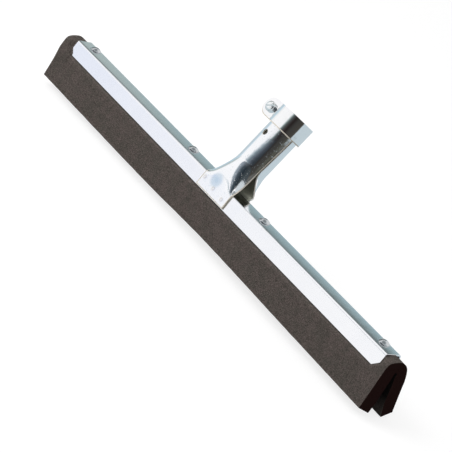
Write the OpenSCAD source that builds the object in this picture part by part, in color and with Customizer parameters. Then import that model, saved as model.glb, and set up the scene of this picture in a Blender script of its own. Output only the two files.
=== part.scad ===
// Foam floor squeegee head: a pressed steel channel that grips a folded foam strip,
// with a split clamp socket for the handle. Millimetres, +X along the blade, -Y the front,
// +Z up. The origin is the centre of the socket's mouth.

/* [Channel] */
// Length of the channel
channel_len = 431; // [320:1:620]
// Width over the web at the top
web_w = 14.4; // [13:0.1:16]
// Width over the lower edges of the flanges
flange_w = 21.8; // [20.4:0.2:25]
// Height from the flange edges to the top of the web
channel_h = 12.2; // [11.4:0.2:16]
// Thickness of the channel's sheet
sheet = 1.2; // [0.8:0.1:1.6]
// Outer radius of the two long bends
bend_r = 2; // [1.8:0.1:2.6]
// Size of the cut at each lower corner of the flanges
corner_cut = 5; // [2:0.5:8]

/* [Foam blade] */
// Foam past each end of the channel
foam_overhang = 9.5; // [4:0.5:20]
// Height of the flange edges above the lips
foam_drop = 29.8; // [24:0.2:45]
// Width over the outer corners of the two lips
lip_w = 35; // [30:0.2:44]
// Width over the leaves just below the flanges
shoulder_w = 27.4; // [26:0.2:30]
// Clear width between the two lips
lip_gap = 11.8; // [7:0.2:16]
// Height of each lip's outer corner above its inner corner
lip_rise = 3; // [1:0.5:6]
// Width of the slot between the leaves below the fold
slot_w = 2.6; // [1:0.2:4]
// Width of the fold past the ends of the channel
fold_w = 25.2; // [21:0.2:26]

/* [Retaining bar] */
// Width of the bar
bar_w = 7; // [6.4:0.2:8]
// Thickness of the bar
bar_t = 2; // [1.5:0.1:3]
// Foam between the web and the bar
fold_t = 6.3; // [5:0.1:6.6]
// Distance of the bar's ends from the channel's ends
bar_inset = 7.5; // [4:0.5:9]

/* [Rivets] */
// Shank diameter of the blade rivets
rivet_d = 4; // [3:0.1:4.8]
// Diameter of the domed heads
rivet_head_d = 9.4; // [6:0.1:10]
// Height of the domed heads
rivet_head_h = 2.6; // [1:0.1:3.6]
// Diameter of the formed tails
rivet_tail_d = 6.6; // [5.6:0.1:7]
// Height of the formed tails
rivet_tail_h = 1.4; // [1:0.1:1.8]
// Distance between the two inner rivets
inner_pitch = 100; // [70:1:160]
// Distance of the outer rivets from the channel's ends
rivet_inset = 14; // [12:0.5:20]
// Distance of the rivets and the bar behind the blade's middle
rivet_y = 1.5; // [0:0.1:1.6]

/* [Socket] */
// Bore of the socket, for the handle
handle_d = 24; // [22:0.1:28]
// Thickness of the socket shells
shell_t = 1.2; // [0.8:0.1:1.6]
// Backward lean of the socket
socket_lean = 24; // [16:1:32]
// Where the socket's axis crosses the top of the web, behind the blade's middle
socket_y = 6.8; // [6:0.1:9]
// Length of the socket along its axis above the web
socket_len = 70; // [62:1:90]
// Length of the flare along the axis above the web
flare_len = 21; // [18:0.5:25]
// Width of the front shell's welded foot
foot_w = 36; // [32:0.5:44]
// Width of the rear shell's welded foot
rear_foot_w = 42; // [34:0.5:50]
// Bare flange below each foot
foot_margin = 1; // [0.4:0.1:3]
// Distance of the front shell's edges from the axis at the flare
split_low = 3.6; // [2.4:0.1:5]
// Distance of the front shell's edges from the axis at the mouth
split_top = 0.6; // [0.3:0.1:1.5]
// Width of the gap between the side edges of the two shells
seam_gap = 0.9; // [0.6:0.1:1.5]

/* [Nail hole] */
// Diameter of the nail hole in the front shell
nail_d = 5; // [3:0.1:6]
// Distance of the hole from the collar's lower edge
nail_below = 8.5; // [5:0.5:12]
// Angle of the hole from straight ahead, towards the ears
nail_turn = 12; // [0:1:40]

/* [Clamp] */
// Width of the collar along the socket
collar_w = 16; // [12:0.5:20]
// Thickness of the collar's band
collar_t = 2.1; // [1.5:0.1:2.6]
// Gap between the two ears
ear_gap = 3; // [2:0.1:5]
// Distance of the screw from the socket's axis
ear_reach = 23.5; // [23:0.1:28]
// Radius of the bend between band and ear
ear_bend = 2.5; // [1:0.1:3]
// Diameter of the clamp screw
screw_d = 5; // [4:0.1:6]
// Length of the clamp screw under its head
screw_len = 16; // [15:0.5:22]
// Diameter of the screw's head
head_d = 8.5; // [8:0.1:10]
// Height of the screw's head
head_h = 3.3; // [2.5:0.1:4]
// Width of the slot in the screw's head
driver_w = 1.2; // [0.8:0.1:1.6]
// Depth of the slot in the screw's head
driver_depth = 1.5; // [1:0.1:2]
// Width of the nut over its flats
nut_w = 8; // [7.5:0.1:9]
// Height of the nut
nut_t = 4; // [3:0.1:5]

/* [Hidden] */
$fn = 64;

// Clearances: a pin in its hole, foam beside metal, a welded foot on its flange
pin_fit = 0.05;
foam_fit = 0.2;
weld_fit = 0.02;
// Extra reach of a cutting shape past the surface it cuts, and of a slot past its mouth
over = 1;
slit_over = 0.01;

// Levels above the lips, which touch the floor at z = 0
flange_z = foam_drop;
web_z = foam_drop + channel_h;
bar_top = web_z - sheet - fold_t;
bar_bottom = bar_top - bar_t;
tail_bottom = bar_bottom - rivet_tail_h;
slot_end = bar_top - bar_t / 2;
// Where the foam bulges out under the flanges, and where the slot narrows to slot_w
shoulder_z = flange_z - 2.2;
shoulder_round = 1.2;
slot_z = flange_z - 2;

// The flanges lean out from the web by this angle
flange_lean = atan((flange_w - web_w) / 2 / channel_h);
foam_len = channel_len + 2 * foam_overhang;
bar_len = channel_len - 2 * bar_inset;
outer_x = channel_len / 2 - rivet_inset;
rivet_x = [-outer_x, -inner_pitch / 2, inner_pitch / 2, outer_x];
rivet_r = rivet_d / 2;

bore_r = handle_d / 2;
shell_r = bore_r + shell_t;
collar_r = shell_r + pin_fit;
band_r = collar_r + collar_t;
ear_face = ear_gap / 2 + collar_t;
screw_r = screw_d / 2;
screw_z = socket_len - collar_w / 2;

// A point given beside the socket's axis, in the squeegee's own directions
function socket_pt(x, y, z) = [
    x,
    socket_y + y * cos(socket_lean) + z * sin(socket_lean),
    web_z - y * sin(socket_lean) + z * cos(socket_lean)
];
mouth = socket_pt(0, 0, socket_len);

// Half width of the flanges' outer faces at height z
function flange_y(z) = web_w / 2 + (web_z - z) * tan(flange_lean);
// Half width of the channel's inner faces at height z
function inner_y(z) = flange_y(z) - sheet / cos(flange_lean);

module to_mouth() {
    translate(-mouth)
        children();
}

// Turns a drawing of the section, width across and height up, into a bar along X
module along_x(length) {
    rotate([90, 0, 90])
        linear_extrude(height = length, center = true)
            children();
}

module in_socket() {
    to_mouth()
        translate([0, socket_y, web_z])
            rotate([-socket_lean, 0, 0])
                children();
}

module in_ears() {
    in_socket()
        translate([-ear_reach, 0, screw_z])
            rotate([90, 0, 0])
                children();
}

// Bar along X with a flat top, two round upper corners and two leaning sides
module bent_bar(length, half_top, top, radius, foot) {
    centre_y = half_top + radius * (1 - sin(flange_lean)) * tan(flange_lean)
        - radius * cos(flange_lean);
    centre_z = top - radius;
    side_y = centre_y + radius * cos(flange_lean);
    side_z = centre_z + radius * sin(flange_lean);
    foot_y = half_top + (top - foot) * tan(flange_lean);
    along_x(length)
        polygon([
            [-foot_y, foot], [-side_y, side_z], [-centre_y, centre_z], [-centre_y, top],
            [centre_y, top], [centre_y, centre_z], [side_y, side_z], [foot_y, foot]
        ]);
    for (s = [-1, 1])
        translate([0, s * centre_y, centre_z])
            rotate([0, 90, 0])
                cylinder(r = radius, h = length, center = true);
}

// One clipped lower corner of both flanges, at the end on side s
module corner_clip(s) {
    x = s * channel_len / 2;
    rotate([90, 0, 0])
        linear_extrude(height = flange_w + 2 * over, center = true)
            polygon([
                [x - s * (corner_cut + over), flange_z - over],
                [x + s * over, flange_z - over],
                [x + s * over, flange_z + corner_cut + over]
            ]);
}

module channel() {
    color([0.80, 0.84, 0.87])
    to_mouth()
    difference() {
        bent_bar(channel_len, web_w / 2, web_z, bend_r, flange_z);
        bent_bar(
            channel_len + 2 * over, inner_y(web_z - sheet), web_z - sheet,
            bend_r - sheet, flange_z - over
        );
        for (s = [-1, 1])
            corner_clip(s);
        for (x = rivet_x)
            translate([x, rivet_y, web_z - sheet - over])
                cylinder(r = rivet_r + pin_fit, h = sheet + 2 * over);
    }
}

// The two leaves and the squeezed fold, as they hang below and inside the channel
module gripped_foam() {
    under = flange_z - foam_fit;
    top = web_z - sheet - foam_fit;
    bend_z = top - bend_r;
    neck = inner_y(flange_z) - foam_fit;
    waist = inner_y(bend_z) - foam_fit;
    crown = inner_y(top) - bend_r + sheet - foam_fit;
    for (s = [-1, 1])
        polygon([
            [0, 0],
            [s * lip_gap / 2, 0],
            [s * lip_w / 2, lip_rise],
            [s * shoulder_w / 2, shoulder_z],
            [s * (shoulder_w / 2 - shoulder_round), under],
            [s * neck, under],
            [s * waist, bend_z],
            [s * crown, top],
            [0, top]
        ]);
}

// The same strip past the channel's end, where nothing squeezes the fold
module free_foam() {
    fold_r = fold_w / 2;
    polygon([
        [-lip_w / 2, lip_rise],
        [-fold_r, web_z - fold_r],
        [fold_r, web_z - fold_r],
        [lip_w / 2, lip_rise],
        [lip_gap / 2, 0],
        [-lip_gap / 2, 0]
    ]);
    translate([0, web_z - fold_r])
        circle(r = fold_r);
}

// The open slot between the leaves
module slot_section() {
    polygon([
        [-lip_gap / 2, -slit_over],
        [-slot_w / 2, slot_z],
        [-slot_w / 2, slot_end],
        [slot_w / 2, slot_end],
        [slot_w / 2, slot_z],
        [lip_gap / 2, -slit_over]
    ]);
}

module foam_blade() {
    end_t = foam_overhang - foam_fit;
    pocket_w = max(bar_w, rivet_tail_d) + 2 * foam_fit;
    color([0.33, 0.30, 0.28])
    to_mouth()
    difference() {
        union() {
            along_x(foam_len - 2 * end_t + 2 * foam_fit)
                gripped_foam();
            for (s = [-1, 1])
                translate([s * (foam_len - end_t) / 2, 0, 0])
                    along_x(end_t)
                        free_foam();
        }
        along_x(foam_len + 2 * over)
            slot_section();
        translate([-bar_len / 2 - foam_fit, rivet_y - pocket_w / 2, tail_bottom - foam_fit])
            cube([bar_len + 2 * foam_fit, pocket_w, bar_top - tail_bottom + 2 * foam_fit]);
        for (x = rivet_x)
            translate([x, rivet_y, bar_top])
                cylinder(r = rivet_r + foam_fit, h = fold_t + over);
    }
}

module retaining_bar() {
    color([0.62, 0.64, 0.66])
    to_mouth()
    difference() {
        translate([-bar_len / 2, rivet_y - bar_w / 2, bar_bottom])
            cube([bar_len, bar_w, bar_t]);
        for (x = rivet_x)
            translate([x, rivet_y, bar_bottom - over])
                cylinder(r = rivet_r + pin_fit, h = bar_t + 2 * over);
    }
}

module blade_rivet(i) {
    head_r = rivet_head_d / 2;
    dome_r = (head_r * head_r + rivet_head_h * rivet_head_h) / 2 / rivet_head_h;
    color([0.72, 0.76, 0.79])
    to_mouth()
    translate([rivet_x[i], rivet_y, 0]) {
        intersection() {
            translate([0, 0, web_z + rivet_head_h - dome_r])
                sphere(r = dome_r);
            translate([0, 0, web_z])
                cylinder(r = head_r + over, h = rivet_head_h + over);
        }
        translate([0, 0, bar_bottom])
            cylinder(r = rivet_r, h = web_z - bar_bottom);
        translate([0, 0, tail_bottom])
            cylinder(r = rivet_tail_d / 2, h = rivet_tail_h);
    }
}

// Both shells are drawn as a grid of points, rows up the shell and columns across it.
// Side -1 is the front shell and side 1 the rear one.
cols = 28;
flare_rows = 14;
// The foot stays flat to this much above the web
foot_rise = 0.3;
// How square the flare's dish is where it leaves the foot
dish = 2.2;
// The grid ends inside the wall of the true tube
root_step = 1;
root_inset = 0.15;
root_turn = 0.03;
// How each curve leaves the foot, and how far it follows the tube down from its upper end:
// the middle line, then the side edges
front_line = [[0, 2.4, 8], 8];
front_edge = [[-0.4, 6.3, 2.1], 12.5];
rear_line = [[0, 6.2, 0.2], 9];
rear_edge = [[0, 9.2, -0.6], 9];

function mix(a, b, t) = a + (b - a) * t;
// Runs from 0 to 1 with a level start and a level end
function ease(t) = t * t * (3 - 2 * t);
function along_socket(d) = d * [0, sin(socket_lean), cos(socket_lean)];
function bezier(a, pull, b, t) =
    pow(1 - t, 3) * a + 3 * pow(1 - t, 2) * t * (a + pull[0])
    + 3 * (1 - t) * t * t * (b - along_socket(pull[1])) + pow(t, 3) * b;

// Distance of a shell's side edges from the axis, at height z on the socket
function split_y(side, z) = (side > 0 ? seam_gap : 0)
    - mix(split_low, split_top, (z - flare_len) / (socket_len - flare_len));
// Half of the angle that a shell covers there
function half_turn(side, z) = acos(side * split_y(side, z) / shell_r);

function foot_half(side) = (side > 0 ? rear_foot_w : foot_w) / 2;

// Outer face of a welded foot at height z
function foot_pt(side, x, z) = [
    x, side * (flange_y(z) + (weld_fit + shell_t) / cos(flange_lean)), z
];
foot_low = flange_z + foot_margin;
foot_top = web_z + foot_rise;

// A point of the tube at height z: u from -1 to 1 between the shell's two side edges
function tube_pt(side, u, r, z) =
    let (turn = half_turn(side, z))
    socket_pt(r * sin(u * turn), side * r * cos(u * turn), z);
flare_end = flare_len - root_step;

// A point of the flare: u from -1 to 1 across, t from 0 at the foot to 1 at the tube
function flare_pt(side, u, t) =
    let (
        turn = half_turn(side, flare_end),
        line_pull = side > 0 ? rear_line : front_line,
        edge_pull = side > 0 ? rear_edge : front_edge,
        line = bezier(foot_pt(side, 0, foot_top), line_pull, tube_pt(side, 0, shell_r, flare_end), t),
        edge = bezier(
            foot_pt(side, foot_half(side), foot_top), edge_pull, tube_pt(side, 1, shell_r, flare_end), t
        ),
        across = mix(u, sin(u * turn) / sin(turn), ease(t)),
        deep = pow((1 - cos(u * turn)) / (1 - cos(turn)), mix(dish, 1, ease(t)))
    )
    [edge[0] * across, mix(line[1], edge[1], deep), mix(line[2], edge[2], deep)];

// The whole face, v from -1 at the foot's lower edge through 0 at the crease to 1 at the tube
function shell_pt(side, u, v) = v < 0
    ? foot_pt(side, u * foot_half(side), mix(foot_top, foot_low, -v))
    : flare_pt(side, u, v);

// Small step for finding the direction of a face
step = 0.02;
function unit(v) = v / norm(v);
// Unit normal from the outer face into the sheet, from the rows low and high beside v
function slope(side, u, v, low, high) =
    side * unit(cross(
        shell_pt(side, min(u + step, 1), v) - shell_pt(side, max(u - step, -1), v),
        shell_pt(side, u, high) - shell_pt(side, u, low)
    ));
function inward(side, u, v) =
    v == 1 ? unit(socket_pt(0, 0, flare_end) - shell_pt(side, u, v))
    : v == 0 ? unit(slope(side, u, v, -step, 0) + slope(side, u, v, 0, step))
    : slope(side, u, v, v - step, v + step);

// The last row, turned a little in from the split so that it lies inside the tube's wall
function root_pt(side, u, r) =
    tube_pt(side, u * (1 - root_turn), r, flare_len + root_step);

// Two flat rows on the foot, one just below the crease, then the flare's
rows = concat([-1, -0.5, -0.06], [for (i = [0 : flare_rows]) i / flare_rows]);
outer_grid = function (side) concat(
    [for (v = rows) [for (j = [0 : cols]) shell_pt(side, 2 * j / cols - 1, v)]],
    [[for (j = [0 : cols]) root_pt(side, 2 * j / cols - 1, shell_r - root_inset)]]
);
inner_grid = function (side) concat(
    [for (v = rows) [for (j = [0 : cols])
        let (u = 2 * j / cols - 1)
        shell_pt(side, u, v) + shell_t * inward(side, u, v)]],
    [[for (j = [0 : cols]) root_pt(side, 2 * j / cols - 1, bore_r + root_inset)]]
);

// Closes two grids of points into one sheet of solid metal
module sheet_solid(outer, inner, flip) {
    nr = len(outer);
    nc = len(outer[0]);
    skin = nr * nc;
    function id(layer, i, j) = layer * skin + i * nc + j;
    function quad(a, b, c, d) = flip ? [[a, b, c], [a, c, d]] : [[c, b, a], [d, c, a]];
    faces = [
        for (i = [0 : nr - 2], j = [0 : nc - 2])
            each concat(
                quad(id(0, i, j), id(0, i, j + 1), id(0, i + 1, j + 1), id(0, i + 1, j)),
                quad(id(1, i + 1, j), id(1, i + 1, j + 1), id(1, i, j + 1), id(1, i, j))
            ),
        for (j = [0 : nc - 2])
            each concat(
                quad(id(1, 0, j), id(1, 0, j + 1), id(0, 0, j + 1), id(0, 0, j)),
                quad(id(0, nr - 1, j), id(0, nr - 1, j + 1), id(1, nr - 1, j + 1), id(1, nr - 1, j))
            ),
        for (i = [0 : nr - 2])
            each concat(
                quad(id(0, i, 0), id(0, i + 1, 0), id(1, i + 1, 0), id(1, i, 0)),
                quad(id(1, i, nc - 1), id(1, i + 1, nc - 1), id(0, i + 1, nc - 1), id(0, i, nc - 1))
            )
    ];
    points = [
        for (grid = [outer, inner], row = grid, p = row) p
    ];
    polyhedron(points = points, faces = faces, convexity = 6);
}

// Everything on one side of the split, from the flare to the mouth
module split_side(side) {
    reach = shell_r + over;
    rotate([90, 0, 90])
        linear_extrude(height = 2 * reach, center = true)
            polygon([
                [split_y(side, flare_len - over), flare_len - over],
                [side * reach, flare_len - over],
                [side * reach, socket_len + over],
                [split_y(side, socket_len + over), socket_len + over]
            ]);
}

module socket_tube(side) {
    intersection() {
        translate([0, 0, flare_len])
            difference() {
                cylinder(r = shell_r, h = socket_len - flare_len);
                translate([0, 0, -over])
                    cylinder(r = bore_r, h = socket_len - flare_len + 2 * over);
            }
        split_side(side);
    }
}

module nail_hole() {
    translate([0, 0, socket_len - collar_w - nail_below])
        rotate([0, 0, -nail_turn])
            rotate([90, 0, 0])
                cylinder(r = nail_d / 2, h = shell_r + over);
}

module front_socket_shell() {
    color([0.86, 0.89, 0.92]) {
        in_socket()
            difference() {
                socket_tube(-1);
                nail_hole();
            }
        to_mouth()
            sheet_solid(outer_grid(-1), inner_grid(-1), false);
    }
}

module rear_socket_shell() {
    color([0.80, 0.83, 0.86]) {
        in_socket()
            socket_tube(1);
        to_mouth()
            sheet_solid(outer_grid(1), inner_grid(1), true);
    }
}

// Fills the corner between the band and one ear with a round bend
module ear_fillet() {
    centre = [
        -sqrt(pow(band_r + ear_bend, 2) - pow(ear_face + ear_bend, 2)),
        ear_face + ear_bend
    ];
    touch = centre * band_r / (band_r + ear_bend);
    difference() {
        linear_extrude(height = collar_w)
            polygon([[centre[0], 0], [centre[0], ear_face], touch, [touch[0], 0]]);
        translate([centre[0], centre[1], -over])
            cylinder(r = ear_bend, h = collar_w + 2 * over);
    }
}

// Both ears as one block with a round end, before the gap is cut
module ear_block() {
    rotate([90, 0, 0])
        translate([-ear_reach, collar_w / 2, -ear_face])
            cylinder(r = collar_w / 2, h = 2 * ear_face);
    translate([-ear_reach, -ear_face, 0])
        cube([ear_reach, 2 * ear_face, collar_w]);
}

module clamp_collar() {
    color([0.84, 0.87, 0.90])
    difference() {
        in_socket()
            translate([0, 0, socket_len - collar_w])
                difference() {
                    union() {
                        cylinder(r = band_r, h = collar_w);
                        ear_block();
                        ear_fillet();
                        mirror([0, 1, 0])
                            ear_fillet();
                    }
                    translate([0, 0, -over])
                        cylinder(r = collar_r, h = collar_w + 2 * over);
                    translate([-ear_reach - collar_w, -ear_gap / 2, -over])
                        cube([ear_reach + collar_w, ear_gap, collar_w + 2 * over]);
                }
        in_ears()
            cylinder(r = screw_r + pin_fit, h = 4 * ear_face, center = true);
    }
}

module clamp_screw() {
    tip = 0.6;
    color([0.90, 0.92, 0.94])
    in_ears()
    difference() {
        union() {
            translate([0, 0, ear_face])
                cylinder(r = head_d / 2, h = head_h);
            translate([0, 0, ear_face - screw_len + tip])
                cylinder(r = screw_r, h = screw_len - tip + head_h / 2);
            translate([0, 0, ear_face - screw_len])
                cylinder(r1 = screw_r - tip, r2 = screw_r, h = tip);
        }
        translate([0, 0, ear_face + head_h - driver_depth])
            rotate([0, 0, 35])
                translate([-head_d, -driver_w / 2, 0])
                    cube([2 * head_d, driver_w, driver_depth + over]);
    }
}

module clamp_nut() {
    color([0.76, 0.79, 0.82])
    in_ears()
    translate([0, 0, -ear_face - nut_t])
    difference() {
        cylinder(r = nut_w / 2 / cos(30), h = nut_t, $fn = 6);
        translate([0, 0, -over])
            cylinder(r = screw_r + pin_fit, h = nut_t + 2 * over);
    }
}

channel();
foam_blade();
retaining_bar();
for (i = [0 : 3])
    blade_rivet(i);
front_socket_shell();
rear_socket_shell();
clamp_collar();
clamp_screw();
clamp_nut();
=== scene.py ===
import math

import bmesh
import bpy
from mathutils import Matrix, Vector, noise


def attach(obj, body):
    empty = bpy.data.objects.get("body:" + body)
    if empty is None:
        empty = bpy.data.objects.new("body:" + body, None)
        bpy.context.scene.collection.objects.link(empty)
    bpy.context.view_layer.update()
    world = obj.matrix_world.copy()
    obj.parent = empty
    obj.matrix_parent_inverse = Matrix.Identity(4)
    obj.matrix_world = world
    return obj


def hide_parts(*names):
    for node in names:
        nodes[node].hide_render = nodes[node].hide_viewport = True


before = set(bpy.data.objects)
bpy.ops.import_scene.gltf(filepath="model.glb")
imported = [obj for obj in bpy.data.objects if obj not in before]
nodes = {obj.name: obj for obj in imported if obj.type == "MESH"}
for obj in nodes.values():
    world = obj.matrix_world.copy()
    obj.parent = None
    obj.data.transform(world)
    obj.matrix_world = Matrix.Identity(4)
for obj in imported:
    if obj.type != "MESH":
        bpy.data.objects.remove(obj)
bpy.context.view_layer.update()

# THE FRAME. Everything below is drawn in millimetres as the squeegee stands on its foam lips:
# X along the blade, Y to the rear, Z up from the lips, with y = 0 in the middle of the blade.
# The shared frame has its origin in the centre of the socket's mouth, in metres.
MM = 0.001
WEB_TOP = 42.0
SOCKET_Y = 6.8
SOCKET_LENGTH = 70.0
LEAN = math.radians(24.0)
MOUTH = Vector((
    0.0,
    SOCKET_Y + SOCKET_LENGTH * math.sin(LEAN),
    WEB_TOP + SOCKET_LENGTH * math.cos(LEAN),
))


def at(x, y, z):
    """A point of the drawing, as a place in the shared frame."""
    return (Vector((x, y, z)) - MOUTH) * MM


# THE CAMERA. A long lens in front of the right-hand half of the blade, looking down on it,
# and rolled so that the blade runs from the upper left to the lower right of the picture.
TURN, HEIGHT, ROLL = (math.radians(a) for a in (43.8008, 20.8033, 27.3026))
DISTANCE = 1.6184
LENS_LENGTH = 173.59
# The middle of the picture lies so many millimetres to the right of the known point and above it
KNOWN_POINT = at(0, -0.7, 53)
TO_THE_RIGHT, UPWARDS = -4.7105, -39.9684
back = Vector((
    math.sin(TURN) * math.cos(HEIGHT), -math.cos(TURN) * math.cos(HEIGHT), math.sin(HEIGHT)
))
level = Vector((math.cos(TURN), math.sin(TURN), 0.0))
upright = back.cross(level)
across = math.cos(ROLL) * level + math.sin(ROLL) * upright
upward = math.cos(ROLL) * upright - math.sin(ROLL) * level
aim = KNOWN_POINT + (TO_THE_RIGHT * across + UPWARDS * upward) * MM
view = Matrix((across, upward, back)).transposed().to_4x4()
view.translation = aim + back * DISTANCE
lens = bpy.data.cameras.new("photo_lens")
lens.sensor_width = 36.0
lens.lens = LENS_LENGTH
lens.clip_start = 0.05
lens.clip_end = 30.0
camera = bpy.data.objects.new("photo_camera", lens)
camera.matrix_world = view
bpy.context.scene.collection.objects.link(camera)
bpy.context.scene.camera = camera

# THE STUDIO. A white room, a large soft lamp to the front left and a weak one to the right.
# Bare plated steel shows what stands round it, so screens and cards that only it can see give it
# its dark band, the blue-grey of the web and the pale grey of the far side.
bpy.context.scene.view_settings.view_transform = "Standard"


def add(tree, kind, inputs={}, **settings):
    """A new shader node with its own settings. inputs gives its sockets a value, the output of
    another node, or another node, whose first output is meant."""
    made = tree.nodes.new(kind)
    for setting, value in settings.items():
        setattr(made, setting, value)
    for socket, value in inputs.items():
        if isinstance(value, bpy.types.Node):
            value = value.outputs[0]
        if isinstance(value, bpy.types.NodeSocket):
            tree.links.new(value, made.inputs[socket])
        else:
            made.inputs[socket].default_value = value
    return made


def shader(name):
    """A new material and its node tree, emptied for the caller."""
    made = bpy.data.materials.new(name)
    made.use_nodes = True
    made.node_tree.nodes.clear()
    return made, made.node_tree


WHITE = (1.0, 1.0, 1.0)
room = bpy.data.worlds.new("white_room")
room.use_nodes = True
bpy.context.scene.world = room
tree = room.node_tree
tree.nodes.clear()
ray = add(tree, "ShaderNodeLightPath").outputs
seen_or_mirrored = add(tree, "ShaderNodeMath", {
    0: ray["Is Camera Ray"], 1: ray["Is Glossy Ray"],
}, operation="ADD", use_clamp=True)
also_through = add(tree, "ShaderNodeMath", {
    0: seen_or_mirrored, 1: ray["Is Transmission Ray"],
}, operation="ADD", use_clamp=True)
soft_light = add(tree, "ShaderNodeBackground", {"Color": (*WHITE, 1.0), "Strength": 0.5})
white = add(tree, "ShaderNodeBackground", {"Color": (*WHITE, 1.0), "Strength": 1.0})
chosen = add(tree, "ShaderNodeMixShader", {"Fac": also_through, 1: soft_light, 2: white})
add(tree, "ShaderNodeOutputWorld", {"Surface": chosen})

FLOOR_Z = -4.0
FLOOR_REACH = 6000.0
floor_mesh = bpy.data.meshes.new("studio_floor")
floor_corners = [
    at(x * FLOOR_REACH, y * FLOOR_REACH, FLOOR_Z) for x, y in ((-1, -1), (1, -1), (1, 1), (-1, 1))
]
floor_mesh.from_pydata(floor_corners, [], [(0, 1, 2, 3)])
floor = bpy.data.objects.new("studio_floor", floor_mesh)
bpy.context.scene.collection.objects.link(floor)
pale, tree = shader("pale_floor")
ray = add(tree, "ShaderNodeLightPath").outputs
paint = add(tree, "ShaderNodeBsdfDiffuse", {"Color": (0.32, 0.32, 0.32, 1.0)})
lift_amount = add(tree, "ShaderNodeMath", {0: ray["Is Camera Ray"], 1: 0.78}, operation="MULTIPLY")
lift = add(tree, "ShaderNodeEmission", {"Strength": lift_amount})
both = add(tree, "ShaderNodeAddShader", {0: paint, 1: lift})
in_steel = add(tree, "ShaderNodeEmission", {"Color": (0.55, 0.64, 0.68, 1.0)})
floor_or_steel = add(tree, "ShaderNodeMixShader", {
    "Fac": ray["Is Glossy Ray"], 1: both, 2: in_steel,
})
add(tree, "ShaderNodeOutputMaterial", {"Surface": floor_or_steel})
floor_mesh.materials.append(pale)


def soft_lamp(name, place, size, watts):
    """A square lamp that faces the middle of the squeegee and doesn't show in the steel."""
    lamp = bpy.data.lights.new(name, "AREA")
    lamp.size = size
    lamp.energy = watts
    made = bpy.data.objects.new(name, lamp)
    made.location = Vector(place)
    made.rotation_mode = "QUATERNION"
    made.rotation_quaternion = (Vector(place) - at(0, 0, 40)).to_track_quat("Z", "Y")
    made.visible_glossy = False
    bpy.context.scene.collection.objects.link(made)


soft_lamp("front_lamp", (-0.75, -1.25, 1.05), 1.3, 20.0)
soft_lamp("side_lamp", (1.6, -0.3, 0.9), 1.2, 2.0)


def blend(first, second, t):
    """The colour or place a share t of the way from the first to the second."""
    return tuple(p + (q - p) * t for p, q in zip(first, second))


def ease(t):
    """A soft step from 0 to 1."""
    t = min(1.0, max(0.0, t))
    return t * t * (3 - 2 * t)


def painted(value, stops):
    """The colour at a value, from a row of (value, colour) pairs."""
    if value <= stops[0][0]:
        return stops[0][1]
    for (low, first), (high, second) in zip(stops, stops[1:]):
        if value <= high:
            return blend(first, second, (value - low) / (high - low))
    return stops[-1][1]


def towards(azimuth, elevation):
    """The direction for a compass angle, 0 straight in front and 90 to the right, and a height."""
    a, e = math.radians(azimuth), math.radians(elevation)
    return Vector((math.sin(a) * math.cos(e), -math.cos(a) * math.cos(e), math.sin(e)))


def screen(name, spot, rows, columns, colour_at):
    """A curved screen that only bright metal can see, and only from the socket's side. spot(i, j)
    gives the place of each of its points and colour_at(i, j) its colour, for i and j from 0 to 1
    across and up it."""
    mesh = bpy.data.meshes.new(name)
    grid = [(i / columns, j / rows) for j in range(rows + 1) for i in range(columns + 1)]
    wide = columns + 1
    mesh.from_pydata([spot(*g) for g in grid], [], [
        (j * wide + i, j * wide + i + 1, (j + 1) * wide + i + 1, (j + 1) * wide + i)
        for j in range(rows) for i in range(columns)
    ])
    coat = mesh.color_attributes.new("coat", "FLOAT_COLOR", "POINT")
    for point, g in zip(coat.data, grid):
        point.color = (*colour_at(*g), 1.0)
    made = bpy.data.objects.new(name, mesh)
    bpy.context.scene.collection.objects.link(made)
    cover, tree = shader(name)
    paint = add(tree, "ShaderNodeVertexColor", layer_name="coat")
    glow = add(tree, "ShaderNodeEmission", {"Color": paint})
    clear = add(tree, "ShaderNodeBsdfTransparent")
    face = add(tree, "ShaderNodeNewGeometry")
    one_sided = add(tree, "ShaderNodeMixShader", {
        "Fac": face.outputs["Backfacing"], 1: clear, 2: glow,
    })
    add(tree, "ShaderNodeOutputMaterial", {"Surface": one_sided})
    mesh.materials.append(cover)
    made.visible_camera = False
    made.visible_diffuse = False
    made.visible_shadow = False
    made.visible_transmission = False
    made.visible_volume_scatter = False


def far_screen(name, azimuths, elevations, colour_of, distance=12.0, degrees=2.0):
    """A piece of a shell round the socket, some metres away. elevations are its lower and upper
    edge at its left end and at its right end, and colour_of takes an azimuth and an elevation."""
    def angles(i, j):
        azimuth = azimuths[0] + (azimuths[1] - azimuths[0]) * i
        low = elevations[0][0] + (elevations[1][0] - elevations[0][0]) * i
        high = elevations[0][1] + (elevations[1][1] - elevations[0][1]) * i
        return azimuth, low + (high - low) * j

    screen(
        name, lambda i, j: at(0, 20, 70) + towards(*angles(i, j)) * distance,
        round(abs(elevations[0][1] - elevations[0][0]) / degrees) + 1,
        round((azimuths[1] - azimuths[0]) / degrees) + 1,
        lambda i, j: colour_of(*angles(i, j)),
    )


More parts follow.
